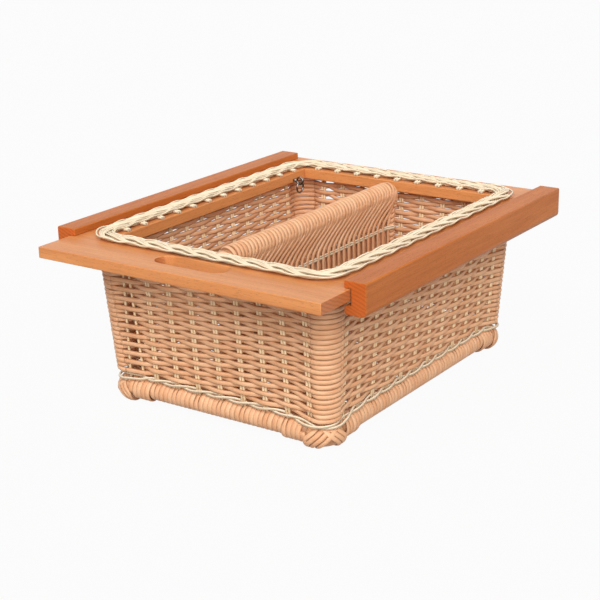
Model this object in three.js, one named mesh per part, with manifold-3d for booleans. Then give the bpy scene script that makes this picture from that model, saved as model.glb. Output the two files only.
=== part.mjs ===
// Pull-out vegetable basket: a woven reed basket hung in a flat beech frame, whose side edges
// slide in two grooved beech runners. A woven divider drops in from front to back.
// Millimetres, +Z up, +Y to the back, origin on the floor under the middle of the frame.

import * as THREE from 'three';
import { mergeVertices } from 'three/addons/utils/BufferGeometryUtils.js';
import Module from 'manifold-3d';

const wasm = await Module();
wasm.setup();

// Clearances
const FIT_GAP = 0.3; // between pieces that touch
const SIDE_PLAY = 1; // frame edge to the bottom of a runner's groove
const DIVIDER_PLAY = 0.5; // end of the divider's roll to the rail beside it

// Frame of four boards
const FRAME_WIDTH = 374;
const FRAME_DEPTH = 502;
const FRAME_THICKNESS = 13;
const FRAME_TOP = 194; // above the floor
const SIDE_RAIL_WIDTH = 48;
const FRONT_RAIL_WIDTH = 76;
const BACK_RAIL_WIDTH = 52;
const SLOT_LENGTH = 94; // finger slot in the front rail
const SLOT_WIDTH = 28;
const SLOT_INSET = 23; // front edge of the rail to the slot
const DOWEL_DIAMETER = 6;
const DOWEL_LENGTH = 30;
const DOWEL_EDGE = 9; // outer edge of the frame to the first dowel
const DOWEL_SPACING = 14;

// Runners
const RUNNER_LENGTH = 442;
const RUNNER_SETBACK = 51.5; // front of the frame to the front of the runners
const RUNNER_WEB = 18; // beside the groove
const GROOVE_DEPTH = 8;
const GROOVE_HEIGHT = 18;
const UPPER_LIP = 8;
const LOWER_LIP = 10;
const LOWER_LIP_ROUND = 2.5; // mouth of the groove
const RUNNER_BOTTOM_ROUND = 6; // inner edge of the underside

// Woven walls
const STAKE_SETBACK = 16.5; // edge of the frame's opening to the line of stakes
const STAKE_DIAMETER = 3.2; // stakes stand in pairs
const STAKE_PITCH = 30;
const STAKE_END = 14; // least distance of a stake from the rounded corner
const STAKE_ROOT = 4; // stake held in the weave under the rail
const STRAND_HEIGHT = 5.47; // reed weavers, one row above the other
const STRAND_THICKNESS = 5.2;
const STRAND_BED = 0.4; // how far a weaver is pressed on to the stakes
const STRAND_DIP = 1; // groove between two weavers
const WALL_LEAN = 10; // how far a wall comes in from the rails to the foot
const WALL_CORNER_RADIUS = 18; // on the line of stakes

// Plaited border
const PLAIT_WIDTH = 22;
const PLAIT_HEIGHT = 8.5;
const PLAIT_CORNER_RADIUS = 26;

// Reed wound round the rolls of the foot and the divider
const WRAP_PITCH = 12.6; // one ridge, which stands for two turns
const WRAP_DIP = 0.8; // groove between two ridges

// Foot border, twined band and base
const FOOT_RADIUS = 12;
const FOOT_LIFT = 8; // floor to the rolls
const FOOT_CORNER_RADIUS = 14.5; // bound corners stand proud and carry the basket
const FOOT_CORNER_EASE = 3.5; // added to that radius for the bend of the corner
const FOOT_INSET = 4.5; // line of stakes to the middle of the foot
const FOOT_CORE_RADIUS = 6;
const BAND_HEIGHT = 6;
const BAND_PROUD = 1; // beyond the weave
const BASE_THICKNESS = 8;
const BASE_HEIGHT = 17; // underside above the floor
const BASE_STICK_PITCH = 29.5; // sticks from front to back
const BASE_BAND_WIDTH = 23.5; // four reeds side by side, woven across the sticks as one
const BASE_REED_THICKNESS = 3.8;

// Divider
const DIVIDER_ROLL_RADIUS = 13;
const DIVIDER_CORE_RADIUS = 8;
const DIVIDER_ROLL_DROP = 8.5; // middle of the roll under the frame's top
const UPRIGHT_PITCH = 10.8;
const UPRIGHT_RADIUS = 3.5;
const UPRIGHT_DIP = 1.2; // groove between two uprights
const POST_RADIUS = 6;
const DIVIDER_BAND_DROP = 55; // under the frame's top
const DIVIDER_BAND_HEIGHT = 6;
const DIVIDER_BAND_THICKNESS = 2.7;
const DIVIDER_BAND_PROUD = 1; // beyond the uprights

// Screw eye and ring
const EYE_SETBACK = 27; // back rail to the eye
const EYE_DROP = 9.5; // under the frame's top
const EYE_COLLAR_RADIUS = 2.5;
const EYE_LOOP_RADIUS = 4.5;
const EYE_WIRE_RADIUS = 1.4;
const EYE_SHANK_RADIUS = 1.4;
const EYE_SHANK_LENGTH = 14;
const EYE_SINK = 1; // how far the loop is rooted in the collar
const RING_RADIUS = 7;
const RING_WIRE_RADIUS = 1.2;
const RING_PLAY = 0.6; // ring to the wire of the eye

// Facets
const CORNER_STEPS = 4;
const WALL_CORNER_STEPS = 2;
const ROLL_SIDES = 8;
const PEG_STEPS = 2;
const WIRE_SIDES = 6;
const WIRE_STEPS = 18;

// Places that follow from the sizes
const railBottom = FRAME_TOP - FRAME_THICKNESS;
const openingHalf = FRAME_WIDTH / 2 - SIDE_RAIL_WIDTH;
const openingFront = -FRAME_DEPTH / 2 + FRONT_RAIL_WIDTH;
const openingBack = FRAME_DEPTH / 2 - BACK_RAIL_WIDTH;
const middleY = (openingFront + openingBack) / 2;
const stakeHalfX = openingHalf + STAKE_SETBACK;
const stakeHalfY = (openingBack - openingFront) / 2 + STAKE_SETBACK;
const weaverOffset = (STAKE_DIAMETER + STRAND_THICKNESS) / 2 - STRAND_BED;
const wallHalf = weaverOffset + STRAND_THICKNESS / 2;
const footTop = FOOT_LIFT + 2 * FOOT_RADIUS;
const footBend = FOOT_CORNER_RADIUS + FOOT_CORNER_EASE;
const footHalfX = stakeHalfX - WALL_LEAN - FOOT_INSET;
const footHalfY = stakeHalfY - WALL_LEAN - FOOT_INSET;
const bandBottom = footTop + FIT_GAP;
const wallBottom = bandBottom + BAND_HEIGHT + FIT_GAP;
const wallTop = railBottom - FIT_GAP;
const strandRows = 2 * Math.round((wallTop - wallBottom) / (2 * STRAND_HEIGHT));
const rowHeight = (wallTop - wallBottom) / strandRows;

const UP = new THREE.Vector3(0, 0, 1);
const MIDDLE = new THREE.Vector3(0, middleY, 0);

// The four sides in turn, each with its outward normal and the way along it to the next side
const SIDES = [
  { name: 'front', normal: new THREE.Vector3(0, -1, 0) },
  { name: 'right', normal: new THREE.Vector3(1, 0, 0) },
  { name: 'back', normal: new THREE.Vector3(0, 1, 0) },
  { name: 'left', normal: new THREE.Vector3(-1, 0, 0) },
];
const CORNER_NAMES = ['front_right', 'back_right', 'back_left', 'front_left'];
for (const side of SIDES) side.along = new THREE.Vector3(-side.normal.y, side.normal.x, 0);

// Materials
const beech = () => new THREE.MeshStandardMaterial({ color: 0xc88a55, roughness: 0.35 });
const reed = () => new THREE.MeshStandardMaterial({ color: 0xdfae84, roughness: 0.55 });
const cane = () => new THREE.MeshStandardMaterial({ color: 0xeadfba, roughness: 0.5 });
const steel = () => new THREE.MeshStandardMaterial({ color: 0xb8b4ae, roughness: 0.25, metalness: 1 });

function piece(name, geometry, material) {
  const mesh = new THREE.Mesh(geometry, material);
  mesh.name = name;
  return mesh;
}

// Cutting and joining

function toSolid(geometry) {
  const bare = geometry.clone();
  bare.deleteAttribute('normal');
  bare.deleteAttribute('uv');
  const merged = mergeVertices(bare, 1e-4);
  return new wasm.Manifold(new wasm.Mesh({
    numProp: 3,
    vertProperties: new Float32Array(merged.attributes.position.array),
    triVerts: new Uint32Array(merged.index.array),
  }));
}

function toGeometry(solid) {
  const mesh = solid.getMesh();
  const geometry = new THREE.BufferGeometry();
  geometry.setAttribute('position', new THREE.BufferAttribute(new Float32Array(mesh.vertProperties), 3));
  geometry.setIndex(new THREE.BufferAttribute(new Uint32Array(mesh.triVerts), 1));
  return geometry;
}

function cut(geometry, tools) {
  let solid = toSolid(geometry);
  for (const tool of tools) solid = solid.subtract(toSolid(tool));
  return toGeometry(solid);
}

function join(geometry, additions) {
  let solid = toSolid(geometry);
  for (const addition of additions) solid = solid.add(toSolid(addition));
  return toGeometry(solid);
}

function trim(geometry, outline) {
  return toGeometry(toSolid(geometry).intersect(toSolid(outline)));
}

// Lofts and sheets

function signedVolume(points, triangles) {
  let volume = 0;
  const cross = new THREE.Vector3();
  for (let i = 0; i < triangles.length; i += 3) {
    cross.crossVectors(points[triangles[i + 1]], points[triangles[i + 2]]);
    volume += points[triangles[i]].dot(cross);
  }
  return volume;
}

function skin(points, triangles) {
  if (signedVolume(points, triangles) < 0) {
    for (let i = 0; i < triangles.length; i += 3) {
      [triangles[i + 1], triangles[i + 2]] = [triangles[i + 2], triangles[i + 1]];
    }
  }
  const geometry = new THREE.BufferGeometry();
  geometry.setFromPoints(points);
  geometry.setIndex(triangles);
  return geometry;
}

// Closed skin through rings of equal count. With an end outline the row is capped at both ends,
// and without one the last ring joins the first.
function loft(rings, endOutline) {
  const count = rings[0].length;
  const points = rings.flat();
  const triangles = [];
  const spans = endOutline ? rings.length - 1 : rings.length;
  for (let r = 0; r < spans; r++) {
    const here = r * count;
    const next = ((r + 1) % rings.length) * count;
    for (let k = 0; k < count; k++) {
      const l = (k + 1) % count;
      triangles.push(here + k, here + l, next + l, here + k, next + l, next + k);
    }
  }
  if (endOutline) {
    const last = (rings.length - 1) * count;
    const turned = THREE.ShapeUtils.isClockWise(endOutline);
    for (const [a, b, c] of THREE.ShapeUtils.triangulateShape(endOutline, [])) {
      const [i, j] = turned ? [c, b] : [b, c];
      triangles.push(a, j, i, last + a, last + i, last + j);
    }
  }
  return skin(points, triangles);
}

// Closed skin of a bent sheet, from two grids of points of one size, one for each face. Both faces
// fold along the diagonal that lies further back, so that the sheet is as thick everywhere and its
// crests stand apart.
function sheet(front, back, facing) {
  const rows = front.length;
  const columns = front[0].length;
  const points = [...front.flat(), ...back.flat()];
  const triangles = [];
  const quad = (a, b, c, d) => triangles.push(a, b, c, a, c, d);
  const on = (r, k) => r * columns + k;
  const under = (r, k) => (rows + r) * columns + k;
  const middle = (a, b) => points[a].dot(facing) + points[b].dot(facing);
  const top = rows - 1;
  const end = columns - 1;
  for (let r = 0; r < top; r++) {
    for (let k = 0; k < end; k++) {
      const [a, b, c, d] = [[r, k], [r, k + 1], [r + 1, k + 1], [r + 1, k]];
      const fold = middle(on(...a), on(...c)) < middle(on(...b), on(...d)) ? [a, b, c, d] : [b, c, d, a];
      quad(...fold.map((place) => on(...place)));
      quad(...[fold[0], fold[3], fold[2], fold[1]].map((place) => under(...place)));
    }
    quad(under(r, 0), on(r, 0), on(r + 1, 0), under(r + 1, 0));
    quad(on(r, end), under(r, end), under(r + 1, end), on(r + 1, end));
  }
  for (let k = 0; k < end; k++) {
    quad(under(0, k), under(0, k + 1), on(0, k + 1), on(0, k));
    quad(on(top, k), on(top, k + 1), under(top, k + 1), under(top, k));
  }
  return skin(points, triangles);
}

// One ring of a section that stands at a point, with its first axis outwards and its second up
function sectionRing(section, origin, outward) {
  return section.map((p) => origin.clone().addScaledVector(outward, p.x).addScaledVector(UP, p.y));
}

function halfOf(side, halfX, halfY) {
  return side.normal.x === 0 ? halfY : halfX;
}

function halfAlong(side, halfX, halfY) {
  return side.normal.x === 0 ? halfX : halfY;
}

// Straight run of a section along one side of a rounded rectangle
function sideRings(section, side, halfX, halfY, radius, height) {
  const reach = halfAlong(side, halfX, halfY) - radius - FIT_GAP / 2;
  const line = MIDDLE.clone()
    .addScaledVector(side.normal, halfOf(side, halfX, halfY))
    .addScaledVector(UP, height);
  const start = line.clone().addScaledVector(side.along, -reach);
  const end = line.clone().addScaledVector(side.along, reach);
  return [sectionRing(section, start, side.normal), sectionRing(section, end, side.normal)];
}

// Quarter turn from one side to the next
function cornerRings(section, side, halfX, halfY, radius, height, steps) {
  const centre = MIDDLE.clone()
    .addScaledVector(side.normal, halfOf(side, halfX, halfY) - radius)
    .addScaledVector(side.along, halfAlong(side, halfX, halfY) - radius)
    .addScaledVector(UP, height);
  const rings = [];
  for (let k = 0; k <= steps; k++) {
    const turn = (Math.PI / 2) * (k / steps);
    const outward = side.normal.clone()
      .multiplyScalar(Math.cos(turn))
      .addScaledVector(side.along, Math.sin(turn));
    rings.push(sectionRing(section, centre.clone().addScaledVector(outward, radius), outward));
  }
  return rings;
}

function polygonSection(inradius, sides) {
  const section = [];
  for (let k = 0; k < sides; k++) {
    const angle = (2 * Math.PI * (k + 0.5)) / sides;
    const reach = inradius / Math.cos(Math.PI / sides);
    section.push(new THREE.Vector2(reach * Math.cos(angle), reach * Math.sin(angle)));
  }
  return section;
}

// Frame

function rectangle(x0, x1, y0, y1) {
  const corners = [[x0, y0], [x1, y0], [x1, y1], [x0, y1]];
  return new THREE.Shape(corners.map(([x, y]) => new THREE.Vector2(x, y)));
}

// Outline with round ends, along X, for the finger slot and for a pair of stakes
function roundEnded(length, width, steps) {
  const shape = new THREE.Shape();
  const straight = (length - width) / 2;
  for (const end of [1, -1]) {
    for (let k = 0; k <= steps; k++) {
      const angle = Math.PI * (k / steps - 0.5);
      const x = end * (straight + (width / 2) * Math.cos(angle));
      const y = end * (width / 2) * Math.sin(angle);
      if (end === 1 && k === 0) shape.moveTo(x, y);
      else shape.lineTo(x, y);
    }
  }
  return shape;
}

function upright(shape, bottom, top) {
  const settings = { depth: top - bottom, bevelEnabled: false, curveSegments: CORNER_STEPS };
  const geometry = new THREE.ExtrudeGeometry(shape, settings);
  return geometry.translate(0, 0, bottom);
}

// Distances of the stakes along a side from its middle
function stakeRuns(side) {
  const half = halfAlong(side, stakeHalfX, stakeHalfY);
  const count = Math.floor((2 * (half - WALL_CORNER_RADIUS - STAKE_END)) / STAKE_PITCH) + 1;
  return Array.from({ length: count }, (_, k) => (k - (count - 1) / 2) * STAKE_PITCH);
}

// A pair of stakes side by side as one upright peg, or with play the hole for it
function stakePair(side, run, bottom, top, play) {
  const shape = roundEnded(2 * (STAKE_DIAMETER + play), STAKE_DIAMETER + 2 * play, PEG_STEPS);
  const peg = upright(shape, bottom, top);
  peg.rotateZ(Math.atan2(side.along.y, side.along.x));
  const place = MIDDLE.clone()
    .addScaledVector(side.normal, halfOf(side, stakeHalfX, stakeHalfY))
    .addScaledVector(side.along, run);
  return peg.translate(place.x, place.y, 0);
}

const DOWELS = [];
for (const [xName, xSign] of [['left', -1], ['right', 1]]) {
  for (const [yName, joint] of [['front', openingFront], ['back', openingBack]]) {
    for (const [order, inset] of [['outer', DOWEL_EDGE], ['inner', DOWEL_EDGE + DOWEL_SPACING]]) {
      const x = xSign * (FRAME_WIDTH / 2 - inset);
      DOWELS.push({ name: `dowel_${yName}_${xName}_${order}`, x, y: joint });
    }
  }
}

function dowelRod(dowel, play) {
  const radius = DOWEL_DIAMETER / 2 + play;
  const rod = new THREE.CylinderGeometry(radius, radius, DOWEL_LENGTH + 2 * play, ROLL_SIDES);
  return rod.translate(dowel.x, dowel.y, railBottom + FRAME_THICKNESS / 2);
}

function eyePlace() {
  return new THREE.Vector3(-openingHalf, openingBack - EYE_SETBACK, FRAME_TOP - EYE_DROP);
}

function eyeShank(play) {
  const radius = EYE_SHANK_RADIUS + play;
  const shank = new THREE.CylinderGeometry(radius, radius, EYE_SHANK_LENGTH + 2 * play, ROLL_SIDES);
  shank.rotateZ(Math.PI / 2);
  const place = eyePlace();
  return shank.translate(place.x - EYE_SHANK_LENGTH / 2 + EYE_COLLAR_RADIUS, place.y, place.z);
}

function rails() {
  const outlines = {
    front: rectangle(-FRAME_WIDTH / 2, FRAME_WIDTH / 2, -FRAME_DEPTH / 2, openingFront),
    back: rectangle(-FRAME_WIDTH / 2, FRAME_WIDTH / 2, openingBack, FRAME_DEPTH / 2),
    left: rectangle(-FRAME_WIDTH / 2, -openingHalf, openingFront + FIT_GAP, openingBack - FIT_GAP),
    right: rectangle(openingHalf, FRAME_WIDTH / 2, openingFront + FIT_GAP, openingBack - FIT_GAP),
  };
  return SIDES.map((side) => {
    const shape = outlines[side.name];
    const tools = stakeRuns(side).map((run) => (
      stakePair(side, run, railBottom - 1, FRAME_TOP + 1, FIT_GAP)));
    for (const dowel of DOWELS) {
      if (dowel.name.includes(`_${side.name}_`)) tools.push(dowelRod(dowel, FIT_GAP));
    }
    if (side.name === 'left') tools.push(eyeShank(FIT_GAP));
    if (side.name === 'front') {
      const slot = roundEnded(SLOT_LENGTH, SLOT_WIDTH, ROLL_SIDES);
      const slotPlace = -FRAME_DEPTH / 2 + SLOT_INSET + SLOT_WIDTH / 2;
      tools.push(upright(slot, railBottom - 1, FRAME_TOP + 1).translate(0, slotPlace, 0));
    }
    return piece(`${side.name}_rail`, cut(upright(shape, railBottom, FRAME_TOP), tools), beech());
  });
}

// Runners: a C section with a rounded lower lip, drawn for the right-hand side

function runnerProfile() {
  const web = FRAME_WIDTH / 2 + SIDE_PLAY;
  const lip = web - GROOVE_DEPTH;
  const outer = web + RUNNER_WEB;
  const grooveTop = FRAME_TOP + FIT_GAP;
  const grooveBottom = grooveTop - GROOVE_HEIGHT;
  const bottom = grooveBottom - LOWER_LIP;
  const shape = new THREE.Shape();
  shape.moveTo(outer, bottom);
  shape.lineTo(outer, grooveTop + UPPER_LIP);
  shape.lineTo(lip, grooveTop + UPPER_LIP);
  shape.lineTo(lip, grooveTop);
  shape.lineTo(web, grooveTop);
  shape.lineTo(web, grooveBottom);
  shape.lineTo(lip + LOWER_LIP_ROUND, grooveBottom);
  const mouth = [lip + LOWER_LIP_ROUND, grooveBottom - LOWER_LIP_ROUND];
  shape.absarc(...mouth, LOWER_LIP_ROUND, Math.PI / 2, Math.PI, false);
  shape.lineTo(lip, bottom + RUNNER_BOTTOM_ROUND);
  const underside = [lip + RUNNER_BOTTOM_ROUND, bottom + RUNNER_BOTTOM_ROUND];
  shape.absarc(...underside, RUNNER_BOTTOM_ROUND, Math.PI, 1.5 * Math.PI, false);
  return shape;
}

function runners() {
  const settings = { depth: RUNNER_LENGTH, bevelEnabled: false, curveSegments: 5 };
  const bar = new THREE.ExtrudeGeometry(runnerProfile(), settings);
  bar.rotateX(Math.PI / 2);
  bar.translate(0, -FRAME_DEPTH / 2 + RUNNER_SETBACK + RUNNER_LENGTH, 0);
  const right = piece('right_runner', bar, beech());
  const left = piece('left_runner', bar.clone().rotateZ(Math.PI), beech());
  left.position.y = -FRAME_DEPTH + 2 * RUNNER_SETBACK + RUNNER_LENGTH;
  return [left, right];
}

// Woven walls: rows of reed that lean in towards the foot. A row passes in front of one pair of
// stakes and behind the next, and the row above it the other way round.

function leanAt(height) {
  return (WALL_LEAN * (railBottom - height)) / (railBottom - footTop);
}

// The middle of a row, but the lower edge of the first and the upper edge of the last
function rowLevel(row) {
  if (row === 0) return wallBottom;
  return row === strandRows - 1 ? wallTop : wallBottom + (row + 0.5) * rowHeight;
}

function wallFace(side, firstStake, reach) {
  const runs = stakeRuns(side);
  return Array.from({ length: strandRows }, (_, row) => {
    const height = rowLevel(row);
    const lean = leanAt(height);
    const out = halfOf(side, stakeHalfX, stakeHalfY) - lean + reach;
    const end = halfAlong(side, stakeHalfX, stakeHalfY) - lean - WALL_CORNER_RADIUS - FIT_GAP / 2;
    const point = (run, pass) => MIDDLE.clone()
      .addScaledVector(side.along, run)
      .addScaledVector(side.normal, out + pass * weaverOffset)
      .addScaledVector(UP, height);
    const passes = runs.map((run, k) => point(run, (firstStake + k + row) % 2 ? -1 : 1));
    return [point(-end, 1), ...passes, point(end, 1)];
  });
}

// Corner of a wall, where every row bends round in front of the stakes' line
function wallCorner(side) {
  const faces = [[], []];
  for (let k = 0; k <= 2 * strandRows; k++) {
    const height = wallBottom + (rowHeight * k) / 2;
    const half = STRAND_THICKNESS / 2 - (k % 2 ? 0 : STRAND_DIP);
    const section = [half, -half].map((reach) => new THREE.Vector2(weaverOffset + reach, 0));
    const halfX = stakeHalfX - leanAt(height);
    const halfY = stakeHalfY - leanAt(height);
    const pairs = cornerRings(section, side, halfX, halfY, WALL_CORNER_RADIUS, height, WALL_CORNER_STEPS);
    faces.forEach((face, f) => face.push(pairs.map((pair) => pair[f])));
  }
  return sheet(...faces, side.normal);
}

function walls() {
  let firstStake = 0;
  return SIDES.flatMap((side, k) => {
    const faces = [1, -1].map((face) => wallFace(side, firstStake, (face * STRAND_THICKNESS) / 2));
    const runs = stakeRuns(side);
    firstStake += runs.length;
    const stakes = runs.map((run) => stakePair(side, run, wallTop - STAKE_ROOT, FRAME_TOP, 0));
    return [
      piece(`${side.name}_wall`, join(sheet(...faces, side.normal), stakes), reed()),
      piece(`wall_corner_${CORNER_NAMES[k]}`, wallCorner(side), reed()),
    ];
  });
}

// Plaited border: flat underneath, crowned on top, over the stakes' line

function plaitSection() {
  const section = [];
  for (let k = 0; k <= ROLL_SIDES; k++) {
    const angle = (Math.PI * k) / ROLL_SIDES;
    const height = PLAIT_HEIGHT * Math.sqrt(Math.sin(angle));
    section.push(new THREE.Vector2((PLAIT_WIDTH / 2) * Math.cos(angle), height));
  }
  return section;
}

function plait() {
  const section = plaitSection();
  const height = FRAME_TOP + FIT_GAP;
  const path = [stakeHalfX, stakeHalfY, PLAIT_CORNER_RADIUS, height];
  return SIDES.flatMap((side, k) => {
    const run = loft(sideRings(section, side, ...path), section);
    const turn = loft(cornerRings(section, side, ...path, CORNER_STEPS), section);
    return [
      piece(`${side.name}_plait`, run, cane()),
      piece(`plait_corner_${CORNER_NAMES[k]}`, turn, cane()),
    ];
  });
}

// Reed wound along Y round a bore for the core rod, with a ridge for each turn. Radii are to the
// flats of the roll.

function woundRoll(length, radius, boreRadius) {
  const turns = Math.round(length / WRAP_PITCH);
  const toRidge = 1 / Math.cos(Math.PI / ROLL_SIDES);
  const profile = [];
  for (let k = 0; k <= 2 * turns; k++) {
    const reach = k % 2 ? radius : radius - WRAP_DIP;
    profile.push(new THREE.Vector2(reach * toRidge, (length * k) / (2 * turns) - length / 2));
  }
  profile.push(new THREE.Vector2(boreRadius * toRidge, length / 2));
  profile.push(new THREE.Vector2(boreRadius * toRidge, -length / 2));
  profile.push(profile[0].clone());
  return new THREE.LatheGeometry(profile, ROLL_SIDES).rotateY(Math.PI / ROLL_SIDES);
}

function coreRod(length, radius) {
  const reach = radius / Math.cos(Math.PI / ROLL_SIDES);
  return new THREE.CylinderGeometry(reach, reach, length, ROLL_SIDES).rotateY(Math.PI / ROLL_SIDES);
}

// Foot: wrapped rolls with cores, bound corners, the band of cane above them and the woven base

function foot() {
  const corner = polygonSection(FOOT_CORNER_RADIUS, ROLL_SIDES);
  const path = [footHalfX, footHalfY, footBend, FOOT_CORNER_RADIUS];
  return SIDES.flatMap((side, k) => {
    const length = 2 * (halfAlong(side, footHalfX, footHalfY) - footBend) - FIT_GAP;
    const place = MIDDLE.clone()
      .addScaledVector(side.normal, halfOf(side, footHalfX, footHalfY))
      .addScaledVector(UP, footTop - FOOT_RADIUS);
    const laid = (geometry) => geometry
      .rotateZ(Math.atan2(-side.along.x, side.along.y))
      .translate(place.x, place.y, place.z);
    const roll = laid(woundRoll(length, FOOT_RADIUS, FOOT_CORE_RADIUS + FIT_GAP));
    const turn = loft(cornerRings(corner, side, ...path, CORNER_STEPS), corner);
    return [
      piece(`${side.name}_foot_roll`, roll, reed()),
      piece(`${side.name}_foot_core`, laid(coreRod(length, FOOT_CORE_RADIUS)), reed()),
      piece(`foot_corner_${CORNER_NAMES[k]}`, turn, reed()),
    ];
  });
}

function twinedBand() {
  const half = wallHalf + BAND_PROUD;
  const stretch = new THREE.Vector2(half, BAND_HEIGHT / 2);
  const section = polygonSection(1, ROLL_SIDES).map((p) => p.multiply(stretch));
  const height = bandBottom + BAND_HEIGHT / 2;
  const lean = leanAt(height);
  const path = [stakeHalfX - lean, stakeHalfY - lean, WALL_CORNER_RADIUS, height];
  const rings = SIDES.flatMap((side) => cornerRings(section, side, ...path, CORNER_STEPS));
  return piece('twined_band', loft(rings), cane());
}

// Bands of reed that pass over one stick and under the next
function baseFace(halfX, halfY, reach) {
  const sticks = Math.floor(halfX / BASE_STICK_PITCH);
  const bands = Math.round((2 * halfY) / BASE_BAND_WIDTH);
  const middle = BASE_HEIGHT + BASE_THICKNESS / 2;
  const rise = (BASE_THICKNESS - BASE_REED_THICKNESS) / 2;
  const edges = [-halfX, halfX];
  const across = Array.from({ length: 2 * sticks + 1 }, (_, k) => (k - sticks) * BASE_STICK_PITCH);
  const rowAt = (y, band) => [edges[0], ...across, edges[1]].map((x, k) => {
    const pass = Math.abs(x) === halfX ? 0 : (-1) ** (k + band);
    return new THREE.Vector3(x, middleY + y, middle + pass * rise + reach);
  });
  const rows = [rowAt(-halfY, 0)];
  for (let band = 0; band < bands; band++) {
    rows.push(rowAt(((band + 0.5) / bands - 0.5) * 2 * halfY, band));
  }
  rows.push(rowAt(halfY, bands - 1));
  return rows;
}

function base() {
  const halfX = footHalfX - FOOT_RADIUS - FIT_GAP;
  const halfY = footHalfY - FOOT_RADIUS - FIT_GAP;
  const radius = footBend + 2 * (FOOT_CORNER_RADIUS - FOOT_RADIUS);
  const shape = new THREE.Shape();
  shape.absarc(halfX - radius, middleY - halfY + radius, radius, -Math.PI / 2, 0, false);
  shape.absarc(halfX - radius, middleY + halfY - radius, radius, 0, Math.PI / 2, false);
  shape.absarc(-halfX + radius, middleY + halfY - radius, radius, Math.PI / 2, Math.PI, false);
  shape.absarc(-halfX + radius, middleY - halfY + radius, radius, Math.PI, 1.5 * Math.PI, false);
  const outline = upright(shape, BASE_HEIGHT - 1, BASE_HEIGHT + BASE_THICKNESS + 1);
  const faces = [1, -1].map((face) => baseFace(halfX, halfY, (face * BASE_REED_THICKNESS) / 2));
  return piece('base', trim(sheet(...faces, UP), outline), reed());
}

// Divider: wrapped roll and core, uprights side by side between two bound posts, a band of cane

function dividerRoll(height) {
  const length = openingBack - openingFront - 2 * DIVIDER_PLAY;
  const roll = woundRoll(length, DIVIDER_ROLL_RADIUS, DIVIDER_CORE_RADIUS + FIT_GAP);
  const core = coreRod(length, DIVIDER_CORE_RADIUS);
  return [
    piece('divider_roll', roll.translate(0, middleY, height), reed()),
    piece('divider_core', core.translate(0, middleY, height), reed()),
  ];
}

function uprightsOutline(half) {
  const count = Math.round((2 * half) / UPRIGHT_PITCH);
  const outline = [];
  for (const face of [1, -1]) {
    for (let k = 0; k <= 2 * count; k++) {
      const reach = k % 2 ? UPRIGHT_RADIUS : UPRIGHT_RADIUS - UPRIGHT_DIP;
      outline.push(new THREE.Vector2(face * reach, face * (-half + (half * k) / count)));
    }
  }
  return new THREE.Shape(outline);
}

// Flat hoop round the panel, lying in a groove of the same shape
function hoop(innerX, innerY, outerX, outerY, height) {
  const shape = rectangle(-outerX, outerX, -outerY, outerY);
  shape.holes.push(rectangle(-innerX, innerX, -innerY, innerY));
  const middle = FRAME_TOP - DIVIDER_BAND_DROP;
  return upright(shape, middle - height / 2, middle + height / 2).translate(0, middleY, 0);
}

function divider() {
  const rollHeight = FRAME_TOP - DIVIDER_ROLL_DROP;
  const bottom = BASE_HEIGHT + BASE_THICKNESS + FIT_GAP;
  const top = rollHeight - DIVIDER_ROLL_RADIUS - FIT_GAP;
  const endHalf = footHalfY - FOOT_RADIUS - FIT_GAP;
  const panelHalf = endHalf - 2 * POST_RADIUS - FIT_GAP;

  const bandOuter = UPRIGHT_RADIUS + DIVIDER_BAND_PROUD;
  const bandInner = bandOuter - DIVIDER_BAND_THICKNESS;
  const bandEnd = panelHalf - DIVIDER_BAND_THICKNESS;
  const groove = hoop(bandInner - FIT_GAP, bandEnd - FIT_GAP, bandOuter + 1, panelHalf + 1,
    DIVIDER_BAND_HEIGHT + 2 * FIT_GAP);
  const uprights = upright(uprightsOutline(panelHalf), bottom, top).translate(0, middleY, 0);
  const band = hoop(bandInner, bandEnd, bandOuter, panelHalf, DIVIDER_BAND_HEIGHT);

  const post = (name, y) => {
    const rod = new THREE.CylinderGeometry(POST_RADIUS, POST_RADIUS, top - bottom, ROLL_SIDES);
    return piece(name, rod.rotateX(Math.PI / 2).translate(0, y, (top + bottom) / 2), reed());
  };
  return [
    ...dividerRoll(rollHeight),
    piece('divider_panel', cut(uprights, [groove]), reed()),
    post('divider_front_post', middleY - endHalf + POST_RADIUS),
    post('divider_back_post', middleY + endHalf - POST_RADIUS),
    piece('divider_band', band, cane()),
  ];
}

// Screw eye in the left rail with a loose ring through it

function eyeAndRing() {
  const collarPlace = eyePlace();
  collarPlace.x += EYE_COLLAR_RADIUS + FIT_GAP;
  const collar = new THREE.SphereGeometry(EYE_COLLAR_RADIUS, 10, 8);
  collar.translate(collarPlace.x, collarPlace.y, collarPlace.z);
  const loopPlace = collarPlace.clone();
  loopPlace.x += EYE_COLLAR_RADIUS - EYE_SINK + EYE_WIRE_RADIUS + EYE_LOOP_RADIUS;
  const loop = new THREE.TorusGeometry(EYE_LOOP_RADIUS, EYE_WIRE_RADIUS, WIRE_SIDES, WIRE_STEPS);
  loop.rotateX(Math.PI / 2).translate(loopPlace.x, loopPlace.y, loopPlace.z);
  const eye = join(collar, [eyeShank(0), loop]);

  const hang = RING_RADIUS - RING_WIRE_RADIUS - RING_PLAY - EYE_WIRE_RADIUS;
  const ring = new THREE.TorusGeometry(RING_RADIUS, RING_WIRE_RADIUS, WIRE_SIDES, WIRE_STEPS);
  ring.rotateY(Math.PI / 2);
  ring.translate(loopPlace.x, loopPlace.y, loopPlace.z - EYE_LOOP_RADIUS - hang);
  return [piece('screw_eye', eye, steel()), piece('hanging_ring', ring, steel())];
}

const basket = new THREE.Group();
basket.name = 'vegetable_basket';
basket.add(...runners());
basket.add(...rails());
basket.add(...DOWELS.map((dowel) => piece(dowel.name, dowelRod(dowel, 0), beech())));
basket.add(...walls());
basket.add(...plait());
basket.add(...foot());
basket.add(twinedBand());
basket.add(base());
basket.add(...divider());
basket.add(...eyeAndRing());

export default basket;
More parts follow.
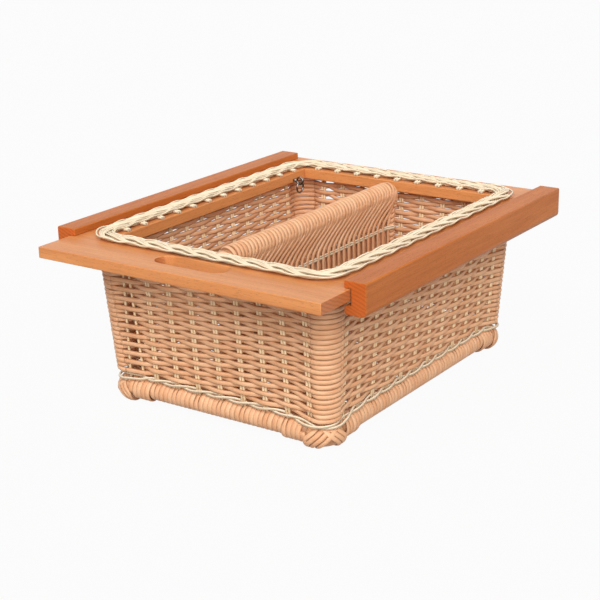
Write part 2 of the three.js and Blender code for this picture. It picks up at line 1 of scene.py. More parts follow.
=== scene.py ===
"""Looks of a pull-out vegetable basket: reed woven on a beech frame that slides in two beech runners."""

import math

import bmesh
import bpy
import numpy as np
from mathutils import Matrix, Vector


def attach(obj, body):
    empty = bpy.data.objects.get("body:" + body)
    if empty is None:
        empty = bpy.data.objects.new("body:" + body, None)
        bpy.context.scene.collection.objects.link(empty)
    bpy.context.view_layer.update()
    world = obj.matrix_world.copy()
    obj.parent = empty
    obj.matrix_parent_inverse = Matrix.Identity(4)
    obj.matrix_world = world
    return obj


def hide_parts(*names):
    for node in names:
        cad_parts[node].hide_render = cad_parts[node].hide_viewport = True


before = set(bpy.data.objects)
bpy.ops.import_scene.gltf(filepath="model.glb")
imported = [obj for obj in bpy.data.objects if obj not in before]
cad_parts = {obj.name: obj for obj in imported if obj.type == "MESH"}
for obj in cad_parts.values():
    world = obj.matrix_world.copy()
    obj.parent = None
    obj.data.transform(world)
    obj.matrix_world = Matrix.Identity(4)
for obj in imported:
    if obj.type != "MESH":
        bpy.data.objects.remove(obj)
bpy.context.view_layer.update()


# Runners. Two beech bars with a groove down the inner face, planed, eased along the edges and
# lacquered. They are fixed to the cabinet's sides, and the frame's boards slide in the grooves.
MILLIMETRE = 0.001
RUNNER_PROFILE = [(206, 166.3, 6), (206, 202.3, 1.6), (180, 202.3, 1.2), (180, 194.3, 0.8),
                  (188, 194.3, 0.4), (188, 176.3, 0.4), (180, 176.3, 2.2), (180, 166.3, 2.5)]
RUNNER_FRONT, RUNNER_BACK, RUNNER_EASE = -199.5, 242.5, 0.9


class Shade:
    """A socket of a finish. An expression on values adds its Math nodes."""

    def __init__(self, tree, socket=None):
        self.tree = tree
        self.socket = socket

    def node(self, kind, sockets=None, out=0, **settings):
        """Adds one node: its settings first, then the values or links of its sockets."""
        made = self.tree.nodes.new(kind)
        for name, value in settings.items():
            setattr(made, name, value)
        for name, value in (sockets or {}).items():
            if isinstance(value, Shade):
                self.tree.links.new(value.socket, made.inputs[name])
            else:
                made.inputs[name].default_value = value
        return Shade(self.tree, made.outputs[out])

    def math(self, operation, *values):
        return self.node("ShaderNodeMath", dict(enumerate(values)), operation=operation)

    def __add__(self, other):
        return self.math("ADD", self, other)

    def __radd__(self, other):
        return self.math("ADD", other, self)

    def __sub__(self, other):
        return self.math("SUBTRACT", self, other)

    def __rsub__(self, other):
        return self.math("SUBTRACT", other, self)

    def __mul__(self, other):
        return self.math("MULTIPLY", self, other)

    def axis(self, letter):
        return self.node("ShaderNodeSeparateXYZ", {"Vector": self}, letter)

    def scaled(self, scale):
        return self.node("ShaderNodeMapping", {"Vector": self, "Scale": scale})

    def noise(self, scale, detail, rough=0.5, distortion=0):
        """Noise at this place, around a half."""
        return self.node("ShaderNodeTexNoise", {"Vector": self, "Scale": scale, "Detail": detail,
                                                "Roughness": rough, "Distortion": distortion})

    def between(self, low, high):
        """Runs smoothly from 0 at low to 1 at high."""
        return self.node("ShaderNodeMapRange", {"Value": self, "From Min": low, "From Max": high},
                         interpolation_type="SMOOTHSTEP")

    def mix(self, first, second):
        """From the first colour at 0 to the second at 1."""
        return self.node("ShaderNodeMix", {0: self, 6: first, 7: second}, 2, data_type="RGBA")

    def bump(self, strength, distance):
        """This height as small bumps, the distance in metres."""
        return self.node("ShaderNodeBump", {"Strength": strength, "Distance": distance, "Height": self})

    def into(self, shader, name):
        self.tree.links.new(self.socket, shader.inputs[name])


def new_finish(name, fixed):
    """A material, the start of its expressions and its shader, with the sockets that don't vary set."""
    material = bpy.data.materials.new(name)
    material.use_nodes = True
    shader = material.node_tree.nodes["Principled BSDF"]
    for socket, value in fixed.items():
        shader.inputs[socket].default_value = value
    return material, Shade(material.node_tree), shader


def paint(red, green, blue, strength=1):
    """A colour as a paint chart gives it, from 0 to 255 and never near black, weaker or stronger."""
    return (*[((v * strength / 255 + 0.055) / 1.055) ** 2.4 for v in (red, green, blue)], 1)


def beech_finish(name, grain, pale, deep, end_deep, coat):
    """Lacquered beech with its grain along axis 0 or 1: broad figure, short dark flecks, end rings."""
    material, start, shader = new_finish(name, {
        "Coat Weight": coat, "Coat Roughness": 0.48, "Specular IOR Level": 0.1})
    place = start.node("ShaderNodeTexCoord", out="Object")
    facing = start.node("ShaderNodeTexCoord", out="Normal")
    drawn_long, drawn_short = [1, 1, 1], [1, 1, 1]
    drawn_long[grain], drawn_short[grain] = 0.05, 0.14
    lengthwise = place.scaled(drawn_long)
    figure = lengthwise.noise(38, 4, 0.6, 0.7)
    streak = lengthwise.noise(420, 3, 0.65)
    fleck = place.scaled(drawn_short).noise(1500, 1, 0.4)
    flecked = fleck.between(0.60, 0.70)
    wood = figure.between(0.32, 0.70).mix(paint(*pale), paint(*deep))
    wood = (streak.between(0.42, 0.72) * 0.5).mix(wood, paint(*deep, 0.90))
    wood = (flecked * 0.34).mix(wood, paint(*deep, 0.70))
    turn = (place.axis("XYZ"[1 - grain]) * 0.42 + place.axis("Z")) * 1500 + figure * 9
    ring = turn.math("SINE", turn)
    end_wood = ring.between(-0.6, 1).mix(paint(*end_deep, 1.1), paint(*end_deep))
    end_wood = (fleck.between(0.5, 0.75) * 0.4).mix(end_wood, paint(*end_deep, 0.75))
    end = facing.axis("XYZ"[grain])
    ended = end.math("ABSOLUTE", end).between(0.75, 0.85)
    ended.mix(wood, end_wood).into(shader, "Base Color")
    (0.34 + flecked * 0.12 + streak * 0.08).into(shader, "Roughness")
    (streak * 0.6 - flecked * 0.5).bump(0.18, 0.0003).into(shader, "Normal")
    return material


def rounded(corners, steps=4):
    """An outline in millimetres from corners (across, up, radius), each turned in a few short steps."""
    line = []
    for (x0, y0, _), (x, y, radius), (x1, y1, _) in zip(
            corners[-1:] + corners[:-1], corners, corners[1:] + corners[:1]):
        back = np.array([x0 - x, y0 - y]) / math.dist((x0, y0), (x, y))
        on = np.array([x1 - x, y1 - y]) / math.dist((x1, y1), (x, y))
        for step in np.linspace(0, math.pi / 2, steps + 1):
            line.append((x, y) + radius * (back * (1 - math.sin(step)) + on * (1 - math.cos(step))))
    return np.array(line)


def inset(line, amount):
    """An anticlockwise outline moved inwards, or a clockwise one moved outwards."""
    ahead = np.roll(line, -1, 0) - line
    ahead /= np.linalg.norm(ahead, axis=1, keepdims=True)
    both = ahead + np.roll(ahead, 1, 0)
    both /= np.sum(both * both, axis=1, keepdims=True) / 2
    return line + amount * np.stack([-both[:, 1], both[:, 0]], 1)


def place_piece(name, mesh, finish, body, slot, *nodes):
    """Puts a mesh in the scene, riding on its body in place of its CAD nodes."""
    mesh.materials.append(finish)
    made = bpy.data.objects.new(name, mesh)
    bpy.context.scene.collection.objects.link(made)
    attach(made, body)
    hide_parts(*nodes)


def sawn(name, outlines, low, high, ease, turn):
    """A bar or board sawn to outlines, the first its edge and any others holes, with eased end edges.
    Only the short steps round a corner are shaded smooth."""
    build = bmesh.new()
    ends = [[], []]
    levels = [(low, ease), (low + 0.3 * ease, 0.3 * ease), (low + ease, 0),
              (high - ease, 0), (high - 0.3 * ease, 0.3 * ease), (high, ease)]
    for line in outlines:
        rings = [[build.verts.new((*spot, level)) for spot in inset(line, amount)]
                 for level, amount in levels]
        for below, above in zip(rings, rings[1:]):
            for i in range(len(line)):
                face = build.faces.new((below[i - 1], below[i], above[i], above[i - 1]))
                face.smooth = (below[i].co - below[i - 1].co).length < 3 * ease + 1
        for end, ring in zip(ends, (rings[0], rings[-1])):
            end += [build.edges.get((ring[i - 1], ring[i])) for i in range(len(ring))]
    for end in ends:
        bmesh.ops.triangle_fill(build, use_beauty=True, edges=end)
    bmesh.ops.recalc_face_normals(build, faces=build.faces)
    build.transform(Matrix.Scale(MILLIMETRE, 4) @ turn)
    mesh = bpy.data.meshes.new(name)
    build.to_mesh(mesh)
    build.free()
    return mesh


runner_beech = beech_finish("runner beech", 1, (200, 118, 58), (186, 103, 46), (184, 92, 39), 0.05)
lying = Matrix(((1, 0, 0, 0), (0, 0, 1, 0), (0, 1, 0, 0), (0, 0, 0, 1)))
for side, hand in (("left", -1), ("right", 1)):
    profile = rounded([(x * hand, z, radius) for x, z, radius in RUNNER_PROFILE][::hand])
    bar = sawn(f"{side} runner", [profile], RUNNER_FRONT, RUNNER_BACK, RUNNER_EASE, lying)
    place_piece(f"{side}_runner_bar", bar, runner_beech, "runners", "beech", f"{side}_runner")


# Frame. Four flat beech boards butted at the corners and glued, with a finger slot routed through
# the front one. Every edge is eased, and the whole frame is lacquered before the reed goes on.
BOARD_LOW, BOARD_TOP, BOARD_EASE, BOARD_CORNER = 181, 194, 1.0, 1.2
BOARD_TONES = (224, 150, 90), (210, 132, 74), (180, 108, 62), 0.55
SLOT_Y, SLOT_HALF, SLOT_RADIUS = -214, 33, 14
beech_cross = beech_finish("board beech side to side", 0, *BOARD_TONES)
beech_long = beech_finish("board beech front to back", 1, *BOARD_TONES)
flat = Matrix.Identity(4)
slot_line = [(end * (SLOT_HALF + SLOT_RADIUS * math.cos(a)), SLOT_Y + end * SLOT_RADIUS * math.sin(a))
             for end in (1, -1) for a in np.linspace(-math.pi / 2, math.pi / 2, 21)]
boards = {
    "front": ((-187, -251, 187, -175), [np.array(slot_line[::-1])], beech_cross),
    "back": ((-187, 199, 187, 251), [], beech_cross),
    "left": ((-187, -174.7, -139, 198.7), [], beech_long),
    "right": ((139, -174.7, 187, 198.7), [], beech_long),
}
for side, ((x0, y0, x1, y1), holes, finish) in boards.items():
    edge = rounded([(x, y, BOARD_CORNER) for x, y in ((x0, y0), (x1, y0), (x1, y1), (x0, y1))], 3)
    board = sawn(f"{side} board", [edge, *holes], BOARD_LOW, BOARD_TOP, BOARD_EASE, flat)
    place_piece(f"{side}_board", board, finish, "basket", "beech", f"{side}_rail")


# Dowels. Eight turned beech pins, two in each butt joint, glued into the boards' ends. They stay as
# the CAD has them, in the same beech, since the finished frame hides them.
for name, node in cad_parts.items():
    if name.startswith("dowel"):
        node.data.materials.clear()
        node.data.materials.append(beech_long)


# Stakes. Pairs of slim peeled canes that stand in holes drilled up through the boards and lean in
# towards the foot. The reed is woven round them; at the front left the two of a pair spread apart.
SIDES = ("front", "right", "back", "left")
CORNERS = ("front_right", "back_right", "back_left", "front_left")
UP = (0, 0, 1)
MIDDLE_Y = 12
STAKES = [np.array([-115, -85, -55, -25, 6, 37, 67, 96, 125]), np.arange(-165, 166, 30),
          np.arange(-120, 121, 30), np.arange(-165, 166, 30)]
FIRST_STAKE = np.cumsum([0, *[len(holes) for holes in STAKES]])
STAKE_HALF, STAKE_LOW, STAKE_HIGH, STAKE_RADIUS = (155.5, 203.5), 29, 181.3, 1.75
WALL_BEND, WALL_LEAN, WALL_FALL = 18, 10, 149
chance = np.random.default_rng(7)


def fibre_finish(name, pale, deep, streak_and_shade, rough, coat):
    """Split reed or cane: each strand a little different, with fine fibres along it and old scuffs, and
    painted shade that darkens each strand's edges where it lies against the next."""
    material, start, shader = new_finish(name, {
        "Coat Weight": coat, "Coat Roughness": 0.3, "Specular IOR Level": 0.3})
    lay = start.node("ShaderNodeAttribute", out="Vector", attribute_name="lay")
    patch = lay.scaled((0.018, 0.05, 0.05)).noise(1, 3, 0.7)
    fibre = lay.scaled((0.05, 1.9, 1.9)).noise(1, 4, 0.7)
    scuff = lay.scaled((0.22, 0.7, 0.7)).noise(1, 2, 0.5)
    colour = patch.between(0.30, 0.70).mix(pale, deep)
    colour = (fibre.between(0.50, 0.78) * 0.42).mix(colour, streak_and_shade)
    colour = (scuff.between(0.62, 0.80) * 0.30).mix(colour, streak_and_shade)
    across = lay.axis("Y")
    # Painted shade: each strand is darkened towards its edges, where it meets its neighbours, standing in
    # for the shade between strands
    painted_groove_shade = (*[0.6 * value for value in streak_and_shade[:3]], 1)
    colour = (across.math("ABSOLUTE", across).between(1.9, 3.0) * 0.6).mix(colour, painted_groove_shade)
    colour.into(shader, "Base Color")
    (rough + fibre * 0.22).into(shader, "Roughness")
    (1 - fibre).bump(0.35, 0.0004).into(shader, "Normal")
    return material


def walk(half, radius, side, run):
    """Plan points and outward directions along a rounded rectangle, front side first, anticlockwise.
    A run past the end of a side's straight bends round the corner."""
    straight = half[side % 2] - radius
    flat_run = np.clip(run, -straight, straight)
    angle = np.clip((run - flat_run) / radius, -math.pi / 2, math.pi / 2)
    past = np.abs(run - flat_run - angle * radius)
    along = flat_run + radius * np.sin(angle)
    out = half[1 - side % 2] - radius + radius * np.cos(angle) - past
    ahead = np.array([(1, 0), (0, 1), (-1, 0), (0, -1)][side])
    away = np.array([(0, -1), (1, 0), (0, 1), (-1, 0)][side])
    spot = along[:, None] * ahead + out[:, None] * away + (0, MIDDLE_Y)
    facing = np.sin(angle)[:, None] * ahead + np.cos(angle)[:, None] * away
    return spot, facing


def wall_half(height):
    """Half width and half length of the stake line, which leans in below the boards."""
    lean = WALL_LEAN * (BOARD_LOW - height) / WALL_FALL
    return STAKE_HALF[0] - lean, STAKE_HALF[1] - lean


def spread(height):
    """How far the two canes of the front left pair stand left and right of their hole."""
    low = (BOARD_LOW - height) / WALL_FALL
    return 3 + 6 * low, 3 + 8 * low


def new_start():
    """Where a strand starts in the finish's noise, so that no two strands look alike."""
    return chance.uniform(0, 9000)


def strand(path, up, wide, high, sides=8, closed=False, start=0.0, stacked=False):
    """Rings of one strand along a path, with each point's lay: millimetres along, then from -3 to 3
    towards the strands beside it, or above and below it where they are stacked, and through it."""
    path = np.asarray(path, float)
    if closed:
        ahead = np.roll(path, -1, 0) - np.roll(path, 1, 0)
    else:
        ahead = np.gradient(path, axis=0)
    ahead /= np.linalg.norm(ahead, axis=1, keepdims=True)
    aside = np.cross(np.broadcast_to(np.asarray(up, float), path.shape), ahead)
    aside /= np.linalg.norm(aside, axis=1, keepdims=True)
    over = np.cross(ahead, aside)
    turn = np.arange(sides) * 2 * math.pi / sides
    wide = np.broadcast_to(wide, len(path))[:, None] * np.cos(turn)
    high = np.broadcast_to(high, len(path))[:, None] * np.sin(turn)
    rings = path[:, None] + aside[:, None] * wide[..., None] + over[:, None] * high[..., None]
    steps = np.linalg.norm(np.diff(path, axis=0), axis=1)
    along = start + np.concatenate([[0], np.cumsum(steps)])
    across = [3 * np.sin(turn), 3 * np.cos(turn)] if stacked else [3 * np.cos(turn), 3 * np.sin(turn)]
    lay = np.stack(np.broadcast_arrays(along[:, None], *across), -1)
    return rings, lay, closed


def woven(name, strands, finish, body, slot, *nodes):
    """One piece made of strands, each a closed tube that carries its own fibre directions."""
    points, lays, faces, smooth = [], [], [], []
    count = 0
    for rings, lay, closed in strands:
        grid = count + np.arange(rings.shape[0] * rings.shape[1]).reshape(rings.shape[:2])
        first, second = (grid, np.roll(grid, -1, 0)) if closed else (grid[:-1], grid[1:])
        quads = np.stack([first, np.roll(first, -1, 1), np.roll(second, -1, 1), second], -1)
        faces += quads.reshape(-1, 4).tolist()
        smooth += [True] * first.size
        if not closed:
            faces += [grid[0, ::-1].tolist(), grid[-1].tolist()]
            smooth += [False, False]
        points.append(rings.reshape(-1, 3))
        lays.append(lay.reshape(-1, 3))
        count += grid.size
    mesh = bpy.data.meshes.new(name)
    mesh.from_pydata((np.concatenate(points) * MILLIMETRE).tolist(), [], faces)
    mesh.polygons.foreach_set("use_smooth", smooth)
    mesh.attributes.new("lay", "FLOAT_VECTOR", "POINT").data.foreach_set(
        "vector", np.concatenate(lays).astype(np.float32).ravel())
    place_piece(name, mesh, finish, body, slot, *nodes)


stake_cane = fibre_finish("stake cane", paint(252, 224, 184), paint(242, 208, 162),
                          paint(200, 152, 106), 0.36, 0.06)
canes = []
for side in range(4):
    for number, hole in enumerate(STAKES[side]):
        for hand in (-1, 1):
            path = []
            for height in np.linspace(STAKE_LOW, STAKE_HIGH, 9):
                spreads = side == 0 and number == 0
                shift = hand * (spread(height)[hand > 0] if spreads else STAKE_RADIUS)
                spot, facing = walk(wall_half(height), WALL_BEND, side, np.array([hole + shift]))
                path.append((*spot[0], height))
            canes.append(strand(path, (*facing[0], 0), STAKE_RADIUS, STAKE_RADIUS, start=new_start()))
woven("stakes", canes, stake_cane, "basket", "cane", *[f"{side}_wall" for side in SIDES])


# Woven walls. Twenty-six rounds of single reed, each in front of one pair of stakes and behind the
# next, beaten down so that the rounds lie on each other, tighter at the back and left. At the corners
# the reed bends round freely outside the stakes and hangs a little lower.
WALL_LOW, WALL_HIGH, ROUNDS = 38.6, 180.7, 26
NEAR_SWING, NEAR_TALL = 2.6, 2.8
FAR_SWING, FAR_TALL = 2.1, 2.95
CORNER_OUT, CORNER_TALL, CORNER_LEAVE, CORNER_FADE = 3.6, 2.95, 0.28, 32
REED_DEEP, CORNER_DEEPER = 1.8, 0.7
LEAST_SAG, MOST_SAG = 2, 7
GAP_BACK = 4.5
LOOSE_RISE, LOOSE_RUN, LOOSE_WIDTH, LOOSE_FROM, LOOSE_OVER = 3.4, 112, 8, 100, 60
WALL_STEPS, CORNER_STEPS = (73, 97), 26


def stake_count(side, run, half, split):
    """A number that grows by one from stake to stake round the basket, at runs along one side."""
    posts = [*STAKES[side]]
    counts = [*range(FIRST_STAKE[side], FIRST_STAKE[side + 1])]
    if side == 0:
        posts[:1] = [posts[0] - split[0], posts[0] + split[1]]
        counts.insert(0, counts[0])
    round_corner = half[0] + half[1] - 2 * WALL_BEND + WALL_BEND * math.pi / 2
    before = STAKES[side - 1][-1] - round_corner
    after = round_corner + (STAKES[(side + 1) % 4][0] - (split[0] if side == 3 else 0))
    return np.interp(run, [before, *posts, after], [counts[0] - 1, *counts, counts[-1] + 1])


def in_and_out(side, count, number):
    """How far out the reed lies, from -1 behind a stake to 1 in front, and how far it is round a corner."""
    stake = np.rint(count)
    leave = np.clip(np.abs(count - stake) / CORNER_LEAVE, 0, 1)
    corner = (count < FIRST_STAKE[side]) | (count > FIRST_STAKE[side + 1] - 1)
    around = np.where(corner, leave * leave * (3 - 2 * leave), 0)
    at_stake = np.cos(math.pi * (stake + number))
    return np.where(corner, at_stake + (1 - at_stake) * around, np.cos(math.pi * (count + number))), around


def near_corner(half, side, run):
    """Close to 1 round a corner, fading along the sides."""
    away = np.abs(half[side % 2] - WALL_BEND + WALL_BEND * math.pi / 4 - np.abs(run))
    return np.exp(-(away / CORNER_FADE) ** 2)


def sag(half, side, run, height):
    """How far a round hangs down near a corner, most at the foot and least at the front left."""
    most = np.where((side == 0) & (run < 0) | (side == 3) & (run > 0), LEAST_SAG, MOST_SAG)
    return most * (WALL_HIGH - height) / (WALL_HIGH - WALL_LOW) * near_corner(half, side, run)


def path_beside(spot, facing, out, level):
    """A path some way out from plan points, at a level. Both may vary along it."""
    out, level = (np.broadcast_to(value, len(spot)) for value in (out, level))
    return np.column_stack([spot + facing * out[:, None], level])


reed = fibre_finish("dyed reed", paint(237, 188, 147), paint(221, 161, 116),
                    paint(164, 103, 64), 0.42, 0.08)
row_pitch = (WALL_HIGH - WALL_LOW) / ROUNDS
bend_run = np.linspace(0, WALL_BEND * math.pi / 2, CORNER_STEPS + 1)[1:-1]
walls = {name: [] for name in (*SIDES, *CORNERS)}
for number in range(ROUNDS):
    height = WALL_LOW + (number + 0.5) * row_pitch
    half = wall_half(height)
    gap_left, gap_right = spread(height)
    waves = chance.uniform(0, 2 * math.pi, 3)
    path, deep, high = [], [], []
    for side in range(4):
        straight = half[side % 2] - WALL_BEND
        run = np.concatenate([np.linspace(-straight, straight, WALL_STEPS[side % 2]), straight + bend_run])
        count = stake_count(side, run, half, (gap_left, gap_right))
        spot, facing = walk(half, WALL_BEND, side, run)
        pass_out, around = in_and_out(side, count, number)
        swing, tall = (NEAR_SWING, NEAR_TALL) if side < 2 else (FAR_SWING, FAR_TALL)
        out = swing * pass_out + (CORNER_OUT - swing) * around
        turn = 2 * math.pi * count / FIRST_STAKE[4]
        sway = 0.2 * np.sin(7 * turn + waves[0]) + 0.15 * np.sin(16 * turn + waves[1])
        full = 1 + 0.04 * np.sin(11 * turn + waves[2])
        if side == 0:
            # Rounds behind the spread pair keep well back between its two canes
            between = np.clip((run - STAKES[0][0] + gap_left) / (gap_left + gap_right), 0, 1)
            out -= GAP_BACK * (1 - pass_out) * np.sin(math.pi * between)
        if side == 2 and number % 2 == 1:
            # Loose rounds ride up at the back left, in the upper half
            loose = LOOSE_RISE * np.clip((height - LOOSE_FROM) / LOOSE_OVER, 0, 1)
            sway += loose * np.exp(-((run - LOOSE_RUN) / LOOSE_WIDTH) ** 2)
        path.append(path_beside(spot, facing, out, height + sway - sag(half, side, run, height)))
        deep.append((REED_DEEP + CORNER_DEEPER * around) * full)
        high.append((tall + (CORNER_TALL - tall) * around) * full)
    rings, lay, _ = strand(np.concatenate(path), UP, np.concatenate(deep), np.concatenate(high), 10,
                           closed=True, start=new_start(), stacked=True)
    # The first ring closes the round as well. Its fibres start over there, within one short step
    last_step = lay[-1, 0, 0] - lay[-2, 0, 0]
    rings = np.concatenate([rings, rings[:1]])
    lay = np.concatenate([lay, lay[:1] + (2 * last_step, 0, 0)])
    begin = 0
    for side in range(4):
        bend = begin + WALL_STEPS[side % 2] - 1
        end = bend + CORNER_STEPS
        walls[SIDES[side]].append((rings[begin:bend + 1], lay[begin:bend + 1], False))
        walls[CORNERS[side]].append((rings[bend:end + 1], lay[bend:end + 1], False))
        begin = end
for side in SIDES:
    woven(f"{side}_woven_wall", walls[side], reed, "basket", "reed", f"{side}_wall")
for corner in CORNERS:
    woven(f"{corner}_woven_corner", walls[corner], reed, "basket", "reed", f"wall_corner_{corner}")


# Plait. A border of peeled cane along the boards' top: three bundles of four wound over each other,
# one turn to three pairs of stakes, between long canes that hold the edges straight. The stakes' own
# cut ends stick out on the inner side.
PLAIT_BEND, PLAIT_TURNS, PLAIT_STEPS, PLAIT_STEP = 26, 14, 840, 1.63
PLAIT_LEVEL, PLAIT_RISE, PLAIT_MIDDLE, PLAIT_SWEEP = 198.2, 2.3, 0.5, 5.1
PLAIT_CANE, CANE_PITCH = 1.15, 2.5
EDGE_CANES = ((9.9, 199.0, 0.0), (-9.9, 198.6, 0.8), (-7.7, 199.9, 2.4))
STUB_WIDE, STUB_HIGH, STUB_APART = 1.75, 1.65, 1.8
STUB_OUT, STUB_LEVELS = (1.0, -8.0, -16.1), (196.4, 196.3, 196.0)


def circuit(half, radius, count):
    """Equal steps all round a rounded rectangle: side, run, plan point and outward direction."""
    lengths = [2 * (half[side % 2] - radius) + radius * math.pi / 2 for side in range(4)]
    starts = np.concatenate([[0], np.cumsum(lengths)])
    distance = np.arange(count) * starts[4] / count
    sides = np.searchsorted(starts, distance, "right") - 1
    runs = np.zeros(count)
    spots, facings = np.zeros((count, 2)), np.zeros((count, 2))
    for side in range(4):
        here = sides == side
        runs[here] = distance[here] - starts[side] - (half[side % 2] - radius)
        spots[here], facings[here] = walk(half, radius, side, runs[here])
    return sides, runs, spots, facings


cane = fibre_finish("peeled cane", paint(248, 233, 206), paint(238, 217, 183),
                    paint(166, 128, 86), 0.36, 0.1)
_, _, spots, facings = circuit(STAKE_HALF, PLAIT_BEND, PLAIT_STEPS)
turn = np.arange(PLAIT_STEPS) * 2 * math.pi / PLAIT_STEPS
canes = []
for bundle in range(3):
    phase = PLAIT_TURNS * turn + bundle * 2 * math.pi / 3
    sweep = np.sin(phase - 0.5 * np.cos(phase))
    out = PLAIT_MIDDLE + PLAIT_SWEEP * sweep
    slant = np.hypot(1, np.gradient(out) / PLAIT_STEP)
    gather = 1 - 0.5 * np.clip(sweep, 0, 1)
    level = PLAIT_LEVEL + PLAIT_RISE * np.cos(phase)
    for beside in range(4):
        stray = 0.25 * np.sin(17 * turn + 2 * bundle + 3 * beside)
        across = CANE_PITCH * (beside - 1.5) * slant * gather + stray
        lift = 0.25 * np.sin(23 * turn + 5 * beside + bundle)
        path = path_beside(spots, facings, out + across, level + lift)
        canes.append(strand(path, UP, PLAIT_CANE, PLAIT_CANE, closed=True, start=new_start()))
for edge, level, first in EDGE_CANES:
    out = edge + 0.3 * np.sin(31 * turn + first)
    ride = level + 0.7 * np.cos(3 * PLAIT_TURNS * turn + first)
    path = path_beside(spots, facings, out, ride)
    canes.append(strand(path, UP, PLAIT_CANE, PLAIT_CANE, closed=True, start=new_start()))
woven("plait", canes, cane, "basket", "cane",
      *[f"{side}_plait" for side in SIDES], *[f"plait_corner_{corner}" for corner in CORNERS])
stubs = []
for side in range(4):
    for hole in STAKES[side]:
        for hand in (-1, 1):
            out = np.add(STUB_OUT, (0, 0, chance.uniform(0, 0.8)))
            spot, facing = walk(STAKE_HALF, PLAIT_BEND, side, np.full(3, hole + STUB_APART * hand))
            path = path_beside(spot, facing, out, STUB_LEVELS)
            stubs.append(strand(path, UP, STUB_WIDE, STUB_HIGH, start=new_start()))
woven("plait_cut_ends", stubs, cane, "basket", "cane")


# Foot. A rod along each side, wrapped tightly with reed, with a cross-bound elbow at each corner
# that the basket stands on. The last few wraps before a corner are doubled, and a wrap is pinched
# where the end of a stake goes down beside it.
FOOT_HALF, FOOT_BEND, FOOT_REACH = (141, 189), 18, (122.85, 170.85)
ROD_LEVEL, ROD_RADIUS = 20, 9.9
WRAP_PITCH, WRAP_RADIUS, WRAP_WIDE, WRAP_THICK, WRAP_END = 6.3, 10.6, 3.6, 1.4, 3.1
TURN_STEPS, PINCH_WIDE, PINCH_THICK = 24, 1.5, 0.4
DOUBLED_LENGTH, DOUBLED_EXTRA = 33, 1.6
ELBOW_LEVEL, ELBOW_RADIUS, ELBOW_START, ELBOW_STOP = 14.5, 12.2, -4, 94
BINDING_RADIUS, BINDING_WIDE = 12.3, 2.85
ELBOW_BANDS = ((0, 26, 0), (16, 26, 0.1), (32, 26, 0.25), (48, 26, 0.5),
               (90, -26, 0), (75, -26, 0.2), (60, -26, 0.55))
around = np.linspace(0, 2 * math.pi, 41)[:-1]
for side in range(4):
    reach = FOOT_REACH[side % 2]
    run = np.arange(-reach + WRAP_END, reach - WRAP_END, WRAP_PITCH / TURN_STEPS)
    angle = 2 * math.pi * run / WRAP_PITCH + 0.35 * np.sin(run / 9 + side)
    spot, facing = walk(FOOT_HALF, FOOT_BEND, side, run)
    round_rod = np.column_stack([facing * np.cos(angle)[:, None], np.sin(angle)])
    near = np.clip((np.abs(run) - reach + DOUBLED_LENGTH) / 3, 0, 1)
    stout = DOUBLED_EXTRA * near * near * (3 - 2 * near)
    path = path_beside(spot, facing, 0, ROD_LEVEL - stout) + (WRAP_RADIUS + stout)[:, None] * round_rod
    beside = np.min(np.abs(run[:, None] - STAKES[side]), axis=1)
    pinch = np.exp(-(beside / 3) ** 2) * np.clip(0.3 + np.sin(angle), 0, 1)
    wrap = strand(path, round_rod, WRAP_WIDE - PINCH_WIDE * pinch, WRAP_THICK - PINCH_THICK * pinch, 10,
                  start=new_start())
    woven(f"{SIDES[side]}_foot_wrap", [wrap], reed, "basket", "reed", f"{SIDES[side]}_foot_roll")

    spot, facing = walk(FOOT_HALF, FOOT_BEND, side, np.linspace(-reach, reach, 30))
    path = path_beside(spot, facing, 0, ROD_LEVEL)
    rod = strand(path, UP, ROD_RADIUS, ROD_RADIUS, 20, start=new_start())
    woven(f"{SIDES[side]}_foot_rod", [rod], reed, "basket", "reed", f"{SIDES[side]}_foot_core")

    corner_run = FOOT_HALF[side % 2] - FOOT_BEND
    bend = np.radians(np.linspace(ELBOW_START, ELBOW_STOP, 12))
    spot, facing = walk(FOOT_HALF, FOOT_BEND, side, corner_run + FOOT_BEND * bend)
    path = path_beside(spot, facing, 0, ELBOW_LEVEL)
    binding = [strand(path, UP, ELBOW_RADIUS, ELBOW_RADIUS, 20)]
    for middle, tilt, proud in ELBOW_BANDS:
        bend = np.radians(np.clip(middle + tilt * np.sin(around), ELBOW_START, ELBOW_STOP))
        spot, facing = walk(FOOT_HALF, FOOT_BEND, side, corner_run + FOOT_BEND * bend)
        round_rod = np.column_stack([facing * np.cos(around)[:, None], np.sin(around)])
        path = path_beside(spot, facing, 0, ELBOW_LEVEL) + (BINDING_RADIUS + proud) * round_rod
        binding.append(strand(path, round_rod, BINDING_WIDE, WRAP_THICK, 10,
                              closed=True, start=new_start()))
    woven(f"{CORNERS[side]}_foot_binding", binding, reed, "basket", "reed",
          f"foot_corner_{CORNERS[side]}")


# Twined band. Two canes twisted round each other just above the foot, one in front and one behind
# each pair of stakes, which locks the foot to the walls. It drops at the corners and forks at the
# front left one.
BAND_LEVEL, BAND_STEPS, BAND_CANE = 35.3, 640, 1.45
BAND_MIDDLE, BAND_SWING, BAND_RISE, BAND_BULGE = 2.6, 2.9, 1.5, 3.0
FORK_FADE, FORK_FLATTER, FORK_DROP, FORK_OPEN = 42, 0.7, 1.2, 2.2
half = wall_half(BAND_LEVEL)
sides, runs, spots, facings = circuit(half, WALL_BEND, BAND_STEPS)
count, drop, bulge = np.zeros((3, BAND_STEPS))
for side in range(4):
    here = sides == side
    count[here] = stake_count(side, runs[here], half, spread(BAND_LEVEL))
    drop[here] = sag(half, side, runs[here], WALL_LOW)
    bulge[here] = BAND_BULGE * near_corner(half, side, runs[here])
from_left = np.hypot(spots[:, 0] + half[0] - 5, spots[:, 1] - MIDDLE_Y + half[1] - 5)
near_left = np.exp(-(from_left / FORK_FADE) ** 2)
bulge *= 1 - FORK_FLATTER * near_left
drop += FORK_DROP * near_left
fork = FORK_OPEN * near_left
twine = []
